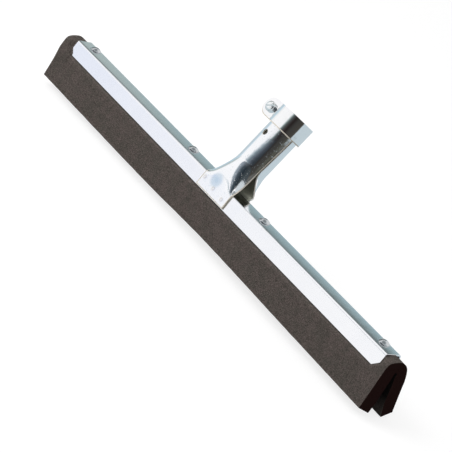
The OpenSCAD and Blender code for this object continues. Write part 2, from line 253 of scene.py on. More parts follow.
# The front screen's colours from left to right: (azimuth, colour)
LOW_DARK = (
    (4, WHITE), (8, (0.62, 0.70, 0.70)), (15, (0.18, 0.215, 0.21)), (21, (0.08, 0.095, 0.095)),
    (31, (0.045, 0.04, 0.04)), (41, (0.020, 0.016, 0.015)), (60, (0.047, 0.046, 0.043)),
    (88, (0.060, 0.055, 0.047)), (96, (0.12, 0.12, 0.11)),
)
MIDDLE_DARK = (
    (-42, WHITE), (-38, (0.50, 0.57, 0.61)), (-34, (0.28, 0.33, 0.37)), (-18, (0.23, 0.27, 0.31)),
    (0, (0.12, 0.14, 0.16)), (30, (0.04, 0.045, 0.05)), (60, (0.044, 0.056, 0.062)),
    (100, (0.064, 0.076, 0.084)),
)
HIGH_DARK = (
    (-42, WHITE), (-38, (0.50, 0.57, 0.61)), (-34, (0.20, 0.245, 0.27)), (-29, (0.09, 0.11, 0.13)),
    (-12, (0.06, 0.08, 0.095)), (29, (0.022, 0.031, 0.04)), (60, (0.044, 0.056, 0.062)),
    (100, (0.064, 0.076, 0.084)),
)
# Where a row begins to give way to the one above it, and over how many degrees
TO_MIDDLE, TO_HIGH = (25.1, 1.1), (31.0, 10.0)
# The same for the screen behind, which turns white to its right, and its lowest row of colours
TO_WHITE = (-84.0, 20.0)
BEHIND = ((-141, (0.35, 0.47, 0.50)), (-135, (0.31, 0.42, 0.44)), (-131, (0.42, 0.50, 0.49)))


def dark_side(azimuth, elevation):
    """The front screen: three rows of colours, one above the other."""
    colour = painted(azimuth, LOW_DARK)
    for stops, (begins, over) in ((MIDDLE_DARK, TO_MIDDLE), (HIGH_DARK, TO_HIGH)):
        colour = blend(colour, painted(azimuth, stops), ease((elevation - begins) / over))
    return colour


def rear_side(azimuth, elevation):
    """The screen behind: blue-grey low down, dark above it, white at its top and right end."""
    colour = painted(elevation, (
        (20.5, painted(azimuth, BEHIND)), (23, (0.19, 0.23, 0.23)), (24.5, (0.10, 0.12, 0.115)),
        (38, (0.12, 0.145, 0.145)), (44, (0.42, 0.45, 0.46)), (50, WHITE),
    ))
    return blend(colour, WHITE, ease((azimuth - TO_WHITE[0]) / TO_WHITE[1]))


far_screen("dark_screen_front", (-46, 50), ((-1.5, 57), (-1.5, 57)), dark_side, degrees=1.0)
far_screen("dark_screen_right", (50, 124), ((-1.5, 57), (-1.5, 20)), dark_side)
far_screen("pale_screen", (58, 126), ((16, 62), (16, 62)), lambda *_: (0.62, 0.67, 0.69), 12.5)
far_screen("rear_screen", (-152, -62), ((8, 52), (8, 52)), rear_side)
far_screen(
    "left_screen", (-128, -74), ((-3, 8), (-3, 8)),
    lambda azimuth, elevation: painted(azimuth, (
        (-92, (0.50, 0.66, 0.76)), (-80, (0.63, 0.75, 0.82)), (-74, WHITE),
    )),
)
far_screen(
    "low_left_screen", (-66, -39), ((-1, 11), (-1, 11)),
    lambda azimuth, elevation: painted(azimuth, ((-47, (0.84, 0.875, 0.965)), (-39, WHITE))),
)
far_screen("ceiling", (-180, 180), ((64, 90), (64, 90)), lambda *_: (0.33, 0.36, 0.37), 12.5, 6.0)


def near_card(name, turns, heights, distance, colour_of):
    """A card bent round the socket, in line with its axis and below the collar, so that the tube
    shows it and the collar doesn't. turns run from straight in front to the right, heights up
    the socket from the web, and colour_of takes both."""
    def place(i, j):
        return turns[0] + (turns[1] - turns[0]) * i, heights[0] + (heights[1] - heights[0]) * j

    def spot(i, j):
        turn, along = place(i, j)
        a = math.radians(turn)
        y = -distance * math.cos(a)
        return at(
            distance * math.sin(a),
            SOCKET_Y + y * math.cos(LEAN) + along * math.sin(LEAN),
            WEB_TOP - y * math.sin(LEAN) + along * math.cos(LEAN),
        )

    screen(name, spot, 12, 40, lambda i, j: colour_of(*place(i, j)))


# The dark of the tube begins further to the left, the lower down it is
near_card("slate_card", (-64, 45), (-15, 40.5), 400.0, lambda turn, along: painted(
    turn - 0.67 * (along - 40), (
        (-8, WHITE), (-1, (0.50, 0.58, 0.63)), (12, (0.18, 0.23, 0.26)), (30, (0.085, 0.10, 0.125)),
        (46, (0.038, 0.046, 0.055)), (60, (0.030, 0.038, 0.045)), (81, (0.065, 0.075, 0.080)),
    )))
near_card("dark_card", (78, 150), (-2, 51.5), 400.0, lambda turn, along: painted(turn, (
    (70, (0.055, 0.058, 0.05)), (90, (0.085, 0.085, 0.068)), (132, (0.055, 0.05, 0.04)),
)))


# THE CHANNEL. One length of steel sheet, 1.2 mm thick, bent into a bar that is open below,
# bright zinc plated, with the four lower corners of its flanges clipped off at 45 degrees.
# It is the back that everything else is fixed to.
SHEET = 1.2
CHANNEL_LENGTH = 431.0
CHANNEL_HEIGHT = 12.2
HALF_WEB = 7.2
HALF_FOOT = 10.9
BEND, BEND_STEPS = 2.0, 10
CLIP = 5.0
FLANGE_FOOT = WEB_TOP - CHANNEL_HEIGHT
FLANGE_LEAN = math.atan((HALF_FOOT - HALF_WEB) / CHANNEL_HEIGHT)
# Faces that meet at a wider turn than this keep a crisp edge in the shading
SHARP = math.radians(35)


def bright_zinc(name, colour, rough, cloud, grain, grain_scale, marks=(), nicks=0.0):
    """Bright zinc plate: passivated steel with a faint blue cloud, fine grain along the sheet
    and a reflection that wavers a little, as it does on pressed sheet. marks are tinted
    patches: (centre on the drawing, radius, how strong from the centre outwards, tint)."""
    made, tree = shader(name)
    place = add(tree, "ShaderNodeTexCoord").outputs["Object"]
    clouds = add(tree, "ShaderNodeTexNoise", {"Vector": place, "Scale": 55.0, "Detail": 4.0})
    coloured = add(tree, "ShaderNodeMixRGB", {
        "Fac": clouds, "Color1": (*colour, 1.0), "Color2": (*cloud, 1.0),
    })
    for centre, radius, strengths, patch_tint in marks:
        away = add(tree, "ShaderNodeVectorMath", {0: place, 1: at(*centre)}, operation="DISTANCE")
        share = add(tree, "ShaderNodeMath", {
            0: away.outputs["Value"], 1: radius * MM,
        }, operation="DIVIDE")
        strength = add(tree, "ShaderNodeValToRGB", {0: share})
        ramp = strength.color_ramp
        ramp.interpolation = "EASE"
        while len(ramp.elements) < len(strengths):
            ramp.elements.new(0.5)
        for k, amount in enumerate(strengths):
            ramp.elements[k].position = k / (len(strengths) - 1)
            ramp.elements[k].color = (amount, amount, amount, 1.0)
        coloured = add(tree, "ShaderNodeMixRGB", {
            "Fac": strength, "Color1": coloured, "Color2": (*patch_tint, 1.0),
        }, blend_type="MULTIPLY")

    stretch = add(tree, "ShaderNodeMapping", {"Vector": place, "Scale": grain_scale})
    lines = add(tree, "ShaderNodeTexNoise", {"Vector": stretch, "Scale": 900.0, "Detail": 3.0})
    dull = add(tree, "ShaderNodeMapRange", {
        "Value": lines, "To Min": rough * 0.8, "To Max": rough * 1.3,
    })

    specks = add(tree, "ShaderNodeTexNoise", {"Vector": place, "Scale": 800.0, "Detail": 1.0})
    few = add(tree, "ShaderNodeMapRange", {"Value": specks, "From Min": 0.68, "From Max": 0.74})
    nicked = add(tree, "ShaderNodeBump", {"Height": few, "Strength": nicks, "Distance": 0.0001})
    waver = add(tree, "ShaderNodeTexNoise", {"Vector": place, "Scale": 120.0, "Detail": 2.0})
    wavy = add(tree, "ShaderNodeBump", {
        "Height": waver, "Normal": nicked, "Strength": 0.12, "Distance": 0.0004,
    })
    fine = add(tree, "ShaderNodeBump", {
        "Height": lines, "Normal": wavy, "Strength": grain, "Distance": 0.00005,
    })
    metal = add(tree, "ShaderNodeBsdfPrincipled", {
        "Base Color": coloured, "Metallic": 1.0, "Roughness": dull, "Normal": fine,
    })
    add(tree, "ShaderNodeOutputMaterial", {"Surface": metal})
    return made


def piece(name, points, faces, *materials, coats=()):
    """A mesh object drawn in the squeegee's millimetres. coats gives the number of each face's
    material, where there are several."""
    mesh = bpy.data.meshes.new(name)
    mesh.from_pydata([at(*p) for p in points], [], faces)
    for material in materials:
        mesh.materials.append(material)
    for face, coat in zip(mesh.polygons, coats):
        face.material_index = coat
    made = bpy.data.objects.new(name, mesh)
    bpy.context.scene.collection.objects.link(made)
    work = bmesh.new()
    work.from_mesh(mesh)
    bmesh.ops.recalc_face_normals(work, faces=work.faces)
    work.to_mesh(mesh)
    work.free()
    mesh.shade_smooth()
    mesh.set_sharp_from_angle(angle=SHARP)
    return made


def break_edges(made, width, angle=40, coat=-1):
    """Rounds every sharp edge of a piece, as tumbling and plating leave it."""
    soften = made.modifiers.new("broken_edges", "BEVEL")
    soften.width = width * MM
    soften.material = coat
    soften.segments = 2
    soften.limit_method = "ANGLE"
    soften.angle_limit = math.radians(angle)
    soften.harden_normals = True


OUTSIDE, INSIDE, CUT = 0, 1, 2


def thick_sheet(outer, inner):
    """Points, faces and coats of the solid between two grids of points, which match row by row."""
    rows, columns = len(outer), len(outer[0])
    skin = rows * columns
    points = [p for grid in (outer, inner) for row in grid for p in row]

    def at_grid(layer, i, j):
        return layer * skin + i * columns + j

    faces, coats = [], []
    for i in range(rows - 1):
        for j in range(columns - 1):
            for layer in (OUTSIDE, INSIDE):
                faces.append((
                    at_grid(layer, i, j), at_grid(layer, i, j + 1),
                    at_grid(layer, i + 1, j + 1), at_grid(layer, i + 1, j),
                ))
                coats.append(layer)
    for j in range(columns - 1):
        for i in (0, rows - 1):
            faces.append((
                at_grid(0, i, j), at_grid(0, i, j + 1), at_grid(1, i, j + 1), at_grid(1, i, j),
            ))
    for i in range(rows - 1):
        for j in (0, columns - 1):
            faces.append((
                at_grid(0, i, j), at_grid(0, i + 1, j), at_grid(1, i + 1, j), at_grid(1, i, j),
            ))
    coats += [CUT] * (len(faces) - len(coats))
    return points, faces, coats


def channel_profile(half_top, top, radius, foot):
    """The bent section from the front flange's foot over the web to the rear flange's foot."""
    lean = FLANGE_LEAN
    centre_y = half_top + radius * (1 - math.sin(lean)) * math.tan(lean) - radius * math.cos(lean)
    side = [(half_top + (top - foot) * math.tan(lean), foot)]
    for k in range(BEND_STEPS + 1):
        angle = math.radians(90) + (lean - math.radians(90)) * (1 - k / BEND_STEPS)
        side.append((centre_y + radius * math.cos(angle), top - radius + radius * math.sin(angle)))
    return [(-y, z) for y, z in side] + side[::-1]


def channel_grid(half_top, top, radius):
    """One face of the bent sheet, section by section, with its corners clipped off."""
    rows = []
    half = CHANNEL_LENGTH / 2
    for x in (-half, -half + CLIP, -half / 3, half / 3, half - CLIP, half):
        foot = FLANGE_FOOT + max(0.0, CLIP - (half - abs(x)))
        rows.append([(x, *p) for p in channel_profile(half_top, top, radius, foot)])
    return rows


inner_half = HALF_WEB + SHEET * math.tan(FLANGE_LEAN) - SHEET / math.cos(FLANGE_LEAN)
sheet_zinc = bright_zinc(
    "channel_zinc", (0.94, 0.945, 0.965), 0.12, (0.89, 0.90, 0.935), 0.25, (0.05, 1.0, 1.0)
)
points, faces, _ = thick_sheet(
    channel_grid(HALF_WEB, WEB_TOP, BEND), channel_grid(inner_half, WEB_TOP - SHEET, BEND - SHEET)
)
channel = piece("channel_sheet", points, faces, sheet_zinc)
break_edges(channel, 0.2)
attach(channel, "head")
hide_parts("channel")


# THE FOAM BLADE. One strip of soft sponge foam, folded once over the bar and squeezed into the
# channel, so that two leaves hang side by side as a double lip. It is cut square at the ends,
# where it stands out of the channel and springs back to its full thickness.
FOAM_LENGTH = 450.0
SPRING_BACK = 5.0
POCKET_END = 208.2
STEP_OUT = 1.1
# The front lip rises in a bow whose top is at BOW_X and whose reach to the left and right differs,
# and lies a little higher at its right end than at its left. It fades out at BOW_TOP.
BOW, BOW_X, BOW_LEFT, BOW_RIGHT, BOW_TOP = 2.1, 25.0, 70.0, 115.0, 22.0
LIP_LEFT, LIP_RIGHT, LIP_CHANGE, LIP_SPAN = -0.3, 0.2, -60.0, 90.0
# The left end swells out at the front under the flange's edge
LEFT_SWELL, SWELL_Z, SWELL_REACH = 1.0, 29.0, 7.0
# Outer face of the strip, from the front lip over the fold to the rear lip: (y, z) as gripped by
# the channel, then as it lies free past the channel's end
OUTER_FACE = (
    (-17.4, 3.0, -17.4, 3.0), (-15.9, 13.0, -15.9, 13.0), (-14.6, 22.0, -14.6, 22.0),
    (-13.85, 27.2, -13.9, 27.0), (-13.1, 28.9, -13.6, 28.8), (-11.6, 29.55, -13.3, 30.4),
    (-9.45, 29.75, -13.1, 32.0), (-8.55, 33.0, -12.8, 34.4), (-7.3, 37.2, -12.2, 37.4),
    (-6.2, 39.6, -11.0, 39.6), (-4.9, 40.5, -8.7, 40.9), (-2.4, 40.6, -4.9, 41.7),
    (0.0, 40.6, -0.7, 42.0),
    (2.4, 40.6, 2.9, 41.2), (4.9, 40.5, 5.9, 39.6), (6.2, 39.6, 7.9, 37.6),
    (7.3, 37.2, 9.4, 35.4), (8.55, 33.0, 10.7, 32.6), (9.45, 29.75, 11.6, 30.2),
    (11.5, 29.55, 12.0, 28.8), (12.9, 28.9, 12.4, 27.4), (13.4, 27.2, 12.9, 25.6),
    (13.7, 22.0, 13.7, 21.0), (15.3, 12.0, 15.3, 12.0), (17.6, 0.9, 17.6, 0.9),
)
# Inner face, matched to it point by point: (y, z) where the slot is open right up, then as it
# goes round the bar
INNER_FACE = (
    (-5.7, -0.9, -5.7, -0.9), (-3.9, 8.0, -3.9, 8.0), (-2.9, 16.5, -2.9, 16.5),
    (-2.2, 23.5, -2.2, 23.5), (-1.8, 26.5, -1.8, 26.5), (-1.6, 28.5, -2.0, 28.5),
    (-1.4, 29.8, -2.0, 30.2), (-1.3, 30.8, -2.2, 30.6), (-1.3, 31.7, -2.25, 32.4),
    (-1.2, 32.5, -2.25, 34.0), (-1.0, 33.1, -2.1, 34.6), (-0.6, 33.4, -0.4, 34.75),
    (-0.1, 33.5, 1.5, 34.75),
    (0.4, 33.4, 3.4, 34.75), (0.7, 33.0, 5.1, 34.6), (1.0, 32.3, 5.25, 34.0),
    (1.1, 31.4, 5.25, 32.4), (1.1, 30.4, 5.2, 30.6), (1.1, 29.4, 1.4, 30.0),
    (1.2, 28.4, 1.2, 28.4), (1.5, 27.0, 1.5, 27.0), (2.0, 24.5, 2.0, 24.5),
    (3.3, 17.0, 3.3, 17.0), (5.0, 7.5, 5.0, 7.5), (8.7, -3.4, 8.7, -3.4),
)
# Steps from one given point to the next, through the strip, and along the middle of the blade
BETWEEN, THROUGH = 4, 8
MIDDLE_END, MIDDLE_STEP = 207.0, 2.6


def curve_through(points, between):
    """More points on a smooth line through the given ones."""
    made = []
    for i in range(len(points) - 1):
        a, b = points[i], points[i + 1]
        before = points[i - 1] if i else tuple(2 * p - q for p, q in zip(a, b))
        after = points[i + 2] if i + 2 < len(points) else tuple(2 * q - p for p, q in zip(a, b))
        for k in range(between):
            t = k / between
            made.append(tuple(
                0.5 * (2 * q + (r - p) * t + (2 * p - 5 * q + 4 * r - s) * t * t
                       + (3 * q - p - 3 * r + s) * t ** 3)
                for p, q, r, s in zip(before, a, b, after)
            ))
    made.append(points[-1])
    return made


def bowed(x, y, z):
    """The height of a point, with the rise of the front leaf's lip."""
    if y >= 0 or z >= BOW_TOP:
        return z
    reach = BOW_LEFT if x < BOW_X else BOW_RIGHT
    rise = LIP_LEFT + (LIP_RIGHT - LIP_LEFT) * ease((x - LIP_CHANGE) / LIP_SPAN)
    rise += BOW * math.exp(-((x - BOW_X) / reach) ** 2)
    return z + rise * (1 - z / BOW_TOP)


def foam_section(x, outer_line, inner_line):
    """The loop of points round the strip at x: outer face, rear cut, inner face, front cut."""
    half = CHANNEL_LENGTH / 2
    pocket = 1.0 if abs(x) < POCKET_END else 0.0
    outer = []
    for gy, gz, fy, fz in outer_line:
        held_to = half - max(0.0, CLIP - max(0.0, gz - FLANGE_FOOT))
        if x < 0 and fy < 0:
            fy -= LEFT_SWELL * math.exp(-((fz - SWELL_Z) / SWELL_REACH) ** 2)
        # the foam steps out past the edge of the sheet at once, and swells on towards its end
        free = 0.0
        if abs(x) > held_to:
            step_out = min(1.0, STEP_OUT / max(STEP_OUT, math.hypot(fy - gy, fz - gz)))
            free = step_out + (1 - step_out) * ease((abs(x) - held_to) / SPRING_BACK)
        outer.append((x, gy + (fy - gy) * free, bowed(x, gy, gz + (fz - gz) * free)))
    inner = [
        (x, oy + (py - oy) * pocket, bowed(x, oy, oz + (pz - oz) * pocket))
        for oy, oz, py, pz in inner_line
    ]
    cut = [k / THROUGH for k in range(1, THROUGH)]
    rear = [blend(outer[-1], inner[-1], t) for t in cut]
    front = [blend(inner[0], outer[0], t) for t in cut]
    return outer, inner, outer + rear + inner[::-1] + front


def foam_stations():
    """Where along X the strip gets a loop of points, closer together towards its ends."""
    half = FOAM_LENGTH / 2
    ends = [half - d for d in (
        0.0, 0.9, 1.8, 2.7, 3.6, 4.5, 5.4, 6.3, 7.2, 8.1, 8.8, 9.4, 10.2, 11.0, 11.8, 12.6, 13.4,
        14.2, 15.0,
    )]
    ends += [POCKET_END + 0.05, POCKET_END - 0.05]
    count = int(2 * MIDDLE_END / MIDDLE_STEP)
    middle = [-MIDDLE_END + 2 * MIDDLE_END * k / count for k in range(count + 1)]
    return [-x for x in ends] + middle + ends[::-1]


outer_line = curve_through(OUTER_FACE, BETWEEN)
inner_line = curve_through(INNER_FACE, BETWEEN)
points, faces, coats = [], [], []
loops = []
end_faces = []
for x in foam_stations():
    outer, inner, loop = foam_section(x, outer_line, inner_line)
    loops.append(range(len(points), len(points) + len(loop)))
    points.extend(loop)
    if abs(x) == FOAM_LENGTH / 2:
        end_faces.append((outer, inner, loops[-1]))
# the faces between the leaves take the second material, which paints shade into the slot
slot_starts = len(outer_line) + THROUGH - 1
for here, there in zip(loops, loops[1:]):
    count = len(here)
    for k in range(count):
        n = (k + 1) % count
        faces.append((here[k], here[n], there[n], there[k]))
        coats.append(1 if slot_starts <= k < slot_starts + len(inner_line) - 1 else 0)
for outer, inner, loop in end_faces:
    last = len(outer) - 1
    span = []
    for i in range(last + 1):
        first, final = loop[i], loop[last + THROUGH + (last - i)]
        if i == 0:
            between = [loop[(-k) % len(loop)] for k in range(1, THROUGH)]
        elif i == last:
            between = [loop[last + k] for k in range(1, THROUGH)]
        else:
            between = []
            for k in range(1, THROUGH):
                between.append(len(points))
                points.append(blend(outer[i], inner[i], k / THROUGH))
        span.append([first, *between, final])
    for i in range(last):
        for k in range(THROUGH):
            faces.append((span[i][k], span[i][k + 1], span[i + 1][k + 1], span[i + 1][k]))


def sponge(name, slot_shade=1.0):
    """Fine-celled sponge foam: dark brown-grey, mottled reddish and greenish over a few
    millimetres and speckled with small open cells. Its knife-cut ends are near black, partly
    for the opened cells and partly as painted shade. The second argument is how much of its
    colour the foam keeps high up between the leaves, where it is darkened as painted shade."""
    made, tree = shader(name)
    place = add(tree, "ShaderNodeTexCoord").outputs["Object"]
    patches = add(tree, "ShaderNodeTexNoise", {
        "Vector": place, "Scale": 150.0, "Detail": 3.0, "Roughness": 0.6,
    })
    warm_or_green = add(tree, "ShaderNodeValToRGB", {0: patches})
    green, warm = warm_or_green.color_ramp.elements
    green.position, green.color = 0.40, (0.093, 0.081, 0.072, 1.0)
    warm.position, warm.color = 0.60, (0.109, 0.090, 0.082, 1.0)
    speckle = add(tree, "ShaderNodeTexNoise", {"Vector": place, "Scale": 1100.0, "Detail": 2.0})
    depth = add(tree, "ShaderNodeMapRange", {
        "Value": speckle, "From Min": 0.3, "From Max": 0.7, "To Min": 0.60, "To Max": 1.40,
    })
    speckled = add(tree, "ShaderNodeMixRGB", {
        "Fac": 1.0, "Color1": warm_or_green, "Color2": depth,
    }, blend_type="MULTIPLY")
    # painted shade: the foam between the leaves grows darker with height, down to the second
    # argument's share of its colour 13 mm up
    height = add(tree, "ShaderNodeSeparateXYZ", {0: place})
    painted_slot_shade = add(tree, "ShaderNodeMapRange", {
        "Value": height.outputs["Z"], "From Min": at(0, 0, 1)[2], "From Max": at(0, 0, 13)[2],
        "To Min": 1.0, "To Max": slot_shade,
    })
    slot_shaded = add(tree, "ShaderNodeMixRGB", {
        "Fac": 1.0, "Color1": speckled, "Color2": painted_slot_shade,
    }, blend_type="MULTIPLY")

    # the two knife-cut ends, whose faces look along X, are painted near black: partly the opened
    # cells, partly painted shade
    face = add(tree, "ShaderNodeNewGeometry")
    facing = add(tree, "ShaderNodeSeparateXYZ", {0: face.outputs["True Normal"]})
    sideways = add(tree, "ShaderNodeMath", {0: facing.outputs["X"]}, operation="ABSOLUTE")
    is_end = add(tree, "ShaderNodeMapRange", {
        "Value": sideways, "From Min": 0.75, "From Max": 0.95,
    })
    cut_ends_and_shade = add(tree, "ShaderNodeMixRGB", {
        "Fac": is_end, "Color1": slot_shaded, "Color2": (0.018, 0.006, 0.005, 1.0),
    })

    cells = add(tree, "ShaderNodeTexVoronoi", {"Vector": place, "Scale": 1500.0})
    pitted = add(tree, "ShaderNodeBump", {"Height": cells, "Strength": 0.55, "Distance": 0.00035})
    foam = add(tree, "ShaderNodeBsdfPrincipled", {
        "Base Color": cut_ends_and_shade, "Normal": pitted, "Roughness": 0.92, "Specular IOR Level": 0.05,
    })
    add(tree, "ShaderNodeOutputMaterial", {"Surface": foam})
    return made


# the second material darkens the foam between the leaves with height, as painted shade
foam = piece(
    "foam_strip", points, faces, sponge("sponge_foam"), sponge("shaded_slot_foam", 0.12), coats=coats
)
# the skin of the foam isn't flat: it swells and dips by a tenth of a millimetre or so
outwards = [vertex.normal.copy() for vertex in foam.data.vertices]
for vertex, normal in zip(foam.data.vertices, outwards):
    swell = noise.noise(vertex.co * 90.0) * 0.16 + noise.noise(vertex.co * 330.0) * 0.09
    vertex.co += normal * swell * MM
break_edges(foam, 0.45, 50)
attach(foam, "head")
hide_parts("foam_blade")


# THE RETAINING BAR. A flat strip of plain mild steel inside the fold. The four rivets draw it
# up, so that it nips the foam against the web. It shows only from below, deep in the slot.
def plain_steel(name):
    """Unplated mild steel strip: grey-brown, dull, with rolling marks along its length."""
    made, tree = shader(name)
    place = add(tree, "ShaderNodeTexCoord").outputs["Object"]
    stretch = add(tree, "ShaderNodeMapping", {"Vector": place, "Scale": (0.04, 1.0, 1.0)})
    marks = add(tree, "ShaderNodeTexNoise", {"Vector": stretch, "Scale": 700.0})
    shade = add(tree, "ShaderNodeValToRGB", {0: marks})
    shade.color_ramp.elements[0].color = (0.33, 0.31, 0.29, 1.0)
    shade.color_ramp.elements[1].color = (0.52, 0.50, 0.48, 1.0)
    scored = add(tree, "ShaderNodeBump", {"Height": marks, "Strength": 0.3, "Distance": 0.0001})
    metal = add(tree, "ShaderNodeBsdfPrincipled", {
        "Base Color": shade, "Metallic": 1.0, "Roughness": 0.42, "Normal": scored,
    })
    add(tree, "ShaderNodeOutputMaterial", {"Surface": metal})
    return made


bar = nodes["retaining_bar"]
bar.data.materials.clear()
bar.data.materials.append(plain_steel("rolled_strip"))


# THE BLADE RIVETS. Four zinc-plated steel rivets through web, fold and bar. Each has a low
# domed head on the web and a tail that was hammered flat under the bar.
RIVET_X = (-201.5, -50.0, 50.0, 201.5)
RIVET_Y = 1.5
HEAD_RADIUS, HEAD_HEIGHT, DOME_STEPS = 4.7, 2.6, 12
SHANK_RADIUS = 2.0
TAIL_RADIUS, TAIL_HEIGHT = 3.3, 1.4
BAR_UNDERSIDE = 32.5


def circle(radius, height, steps):
    """A ring of points round a piece's own axis."""
    angles = [2 * math.pi * k / steps for k in range(steps)]
    return [(radius * math.cos(a), radius * math.sin(a), height) for a in angles]


def skinned(name, rings, *materials, hoop=False):
    """A piece whose skin runs from ring to ring. Its two ends are closed with a flat face, or
    joined to each other on a hoop."""
    steps, count = len(rings[0]), len(rings)
    faces = []
    for i in range(count if hoop else count - 1):
        j = (i + 1) % count
        for k in range(steps):
            n = (k + 1) % steps
            faces.append((i * steps + k, i * steps + n, j * steps + n, j * steps + k))
    if not hoop:
        faces.append(tuple(range(steps))[::-1])
        faces.append(tuple((count - 1) * steps + k for k in range(steps)))
    return piece(name, [p for ring in rings for p in ring], faces, *materials)


def turned(name, profile, place, *materials, steps=40):
    """A piece turned in a lathe: profile is (radius, height) from its foot to its top, and place
    takes (x, y, height) beside its own axis to the drawing."""
    return skinned(name, [
        [place(*p) for p in circle(radius, height, steps)] for radius, height in profile
    ], *materials)


def rivet_profile():
    """From the middle of the hammered tail round it, up the shank and over the domed head."""
    low = BAR_UNDERSIDE - TAIL_HEIGHT
    profile = [
        (0.4, low), (TAIL_RADIUS - 0.5, low), (TAIL_RADIUS - 0.1, low + 0.25),
        (TAIL_RADIUS, low + 0.7), (TAIL_RADIUS - 0.15, BAR_UNDERSIDE - 0.1),
        (TAIL_RADIUS - 0.4, BAR_UNDERSIDE), (SHANK_RADIUS, BAR_UNDERSIDE),
        (SHANK_RADIUS, WEB_TOP), (HEAD_RADIUS - 0.25, WEB_TOP), (HEAD_RADIUS, WEB_TOP + 0.2),
    ]
    dome = (HEAD_RADIUS ** 2 + HEAD_HEIGHT ** 2) / 2 / HEAD_HEIGHT
    for k in range(1, DOME_STEPS):
        radius = (HEAD_RADIUS - 0.1) * math.cos(math.radians(90) * k / DOME_STEPS)
        profile.append((radius, WEB_TOP + HEAD_HEIGHT - dome + math.sqrt(dome ** 2 - radius ** 2)))
    return profile


rivet_zinc = bright_zinc("rivet_zinc", (0.62, 0.64, 0.66), 0.18, (0.50, 0.52, 0.54), 0.3, (1, 1, 1))
for number, rivet_x in enumerate(RIVET_X, 1):
    rivet = turned(
        f"rivet_{number}", rivet_profile(),
        lambda x, y, height: (rivet_x + x, RIVET_Y + y, height), rivet_zinc,
    )
    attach(rivet, "head")
    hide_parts(f"blade_rivet_{number}")


# THE SOCKET. Two half-shells pressed from 1.2 mm sheet and zinc plated. Each starts as a flat
# foot, spot-welded in three places to one flange of the channel, turns up through a flare and
# ends as half of a split tube that leans back. The front one has a hole for a nail or screw.
BORE_RADIUS = 12.0
SHELL = 1.2
SHELL_RADIUS = BORE_RADIUS + SHELL
FLARE_LENGTH = 21.0
HALF_SOCKET_FOOT = {-1: 18.0, 1: 21.0}
FOOT_LOW = FLANGE_FOOT + 1.0
FOOT_TOP = WEB_TOP + 0.3
WELD_GAP = 0.02
# Places of the three spot welds along the foot: (x, z)
WELDS = ((-14.8, 38.7), (-0.9, 36.8), (12.0, 35.3))
WELD_DENT, WELD_SPREAD = 0.12, 2.2
# How far behind the axis the seam runs at the tube's foot and at its mouth, and its width
SPLIT_LOW, SPLIT_TOP, SEAM_GAP = 3.6, 0.6, 0.9
# How flat the flare is across its middle, where it leaves the foot
DISH = 2.2
# How each curve leaves the foot, and how far it follows the tube at its upper end:
# the middle line, then the side edges, for the front shell and for the rear one
LINES = {
    -1: (((0, 2.4, 8), 8.0), ((-0.4, 6.3, 2.1), 12.5)),
    1: (((0, 6.2, 0.2), 9.0), ((0, 9.2, -0.6), 9.0)),
}
COLLAR_WIDTH = 16.0
NAIL_RADIUS = 2.5
NAIL_Z = SOCKET_LENGTH - COLLAR_WIDTH - 8.5
NAIL_TURN = math.radians(12)
FOOT_ROWS, FLARE_ROWS, TUBE_ROWS, COLUMNS = 16, 30, 24, 44
# Where the foot turns up into the flare, so many rows each way are softened so many times
CREASE_ROWS, CREASE_TIMES = 3, 6


def in_socket(x, y, z):
    """A point beside the socket's own axis, z up it from the web, as a point of the drawing."""
    return Vector((
        x,
        SOCKET_Y + y * math.cos(LEAN) + z * math.sin(LEAN),
        WEB_TOP - y * math.sin(LEAN) + z * math.cos(LEAN),
    ))


def split_y(side, z):
    """Where a shell's side edges run, behind the axis."""
    t = (z - FLARE_LENGTH) / (SOCKET_LENGTH - FLARE_LENGTH)
    return (SEAM_GAP if side > 0 else 0.0) - (SPLIT_LOW + (SPLIT_TOP - SPLIT_LOW) * t)


def half_turn(side, z):
    """How far round the tube a shell goes, from its middle to its side edge."""
    return math.acos(side * split_y(side, z) / SHELL_RADIUS)


def tube_point(side, u, z):
    """A point of the tube's outer face, u from -1 to 1 between the shell's side edges."""
    a = u * half_turn(side, z)
    return in_socket(SHELL_RADIUS * math.sin(a), side * SHELL_RADIUS * math.cos(a), z)


def foot_point(side, x, z):
    """A point of the foot's outer face, which lies on the leaning flange."""
    flange_y = HALF_WEB + (WEB_TOP - z) * math.tan(FLANGE_LEAN)
    return Vector((x, side * (flange_y + (WELD_GAP + SHELL) / math.cos(FLANGE_LEAN)), z))


def pulled(a, pull, b, t):
    """A curve from a to b that leaves a by the first pull and ends along the socket."""
    along = Vector((0, math.sin(LEAN), math.cos(LEAN)))
    return (
        (1 - t) ** 3 * a + 3 * (1 - t) ** 2 * t * (a + Vector(pull[0]))
        + 3 * (1 - t) * t * t * (b - along * pull[1]) + t ** 3 * b
    )


def flare_point(side, u, t):
    """A point of the flare's outer face, u across it and t from the foot up to the tube."""
    a = half_turn(side, FLARE_LENGTH)
    middle, edge = LINES[side]
    corner = foot_point(side, HALF_SOCKET_FOOT[side], FOOT_TOP)
    line = pulled(foot_point(side, 0, FOOT_TOP), middle, tube_point(side, 0, FLARE_LENGTH), t)
    rim = pulled(corner, edge, tube_point(side, 1, FLARE_LENGTH), t)
    wide = u + (math.sin(u * a) / math.sin(a) - u) * ease(t)
    bow = DISH + (1 - DISH) * ease(t)
    deep = ((1 - math.cos(u * a)) / (1 - math.cos(a))) ** bow
    return Vector((
        rim[0] * wide, line[1] + (rim[1] - line[1]) * deep, line[2] + (rim[2] - line[2]) * deep,
    ))


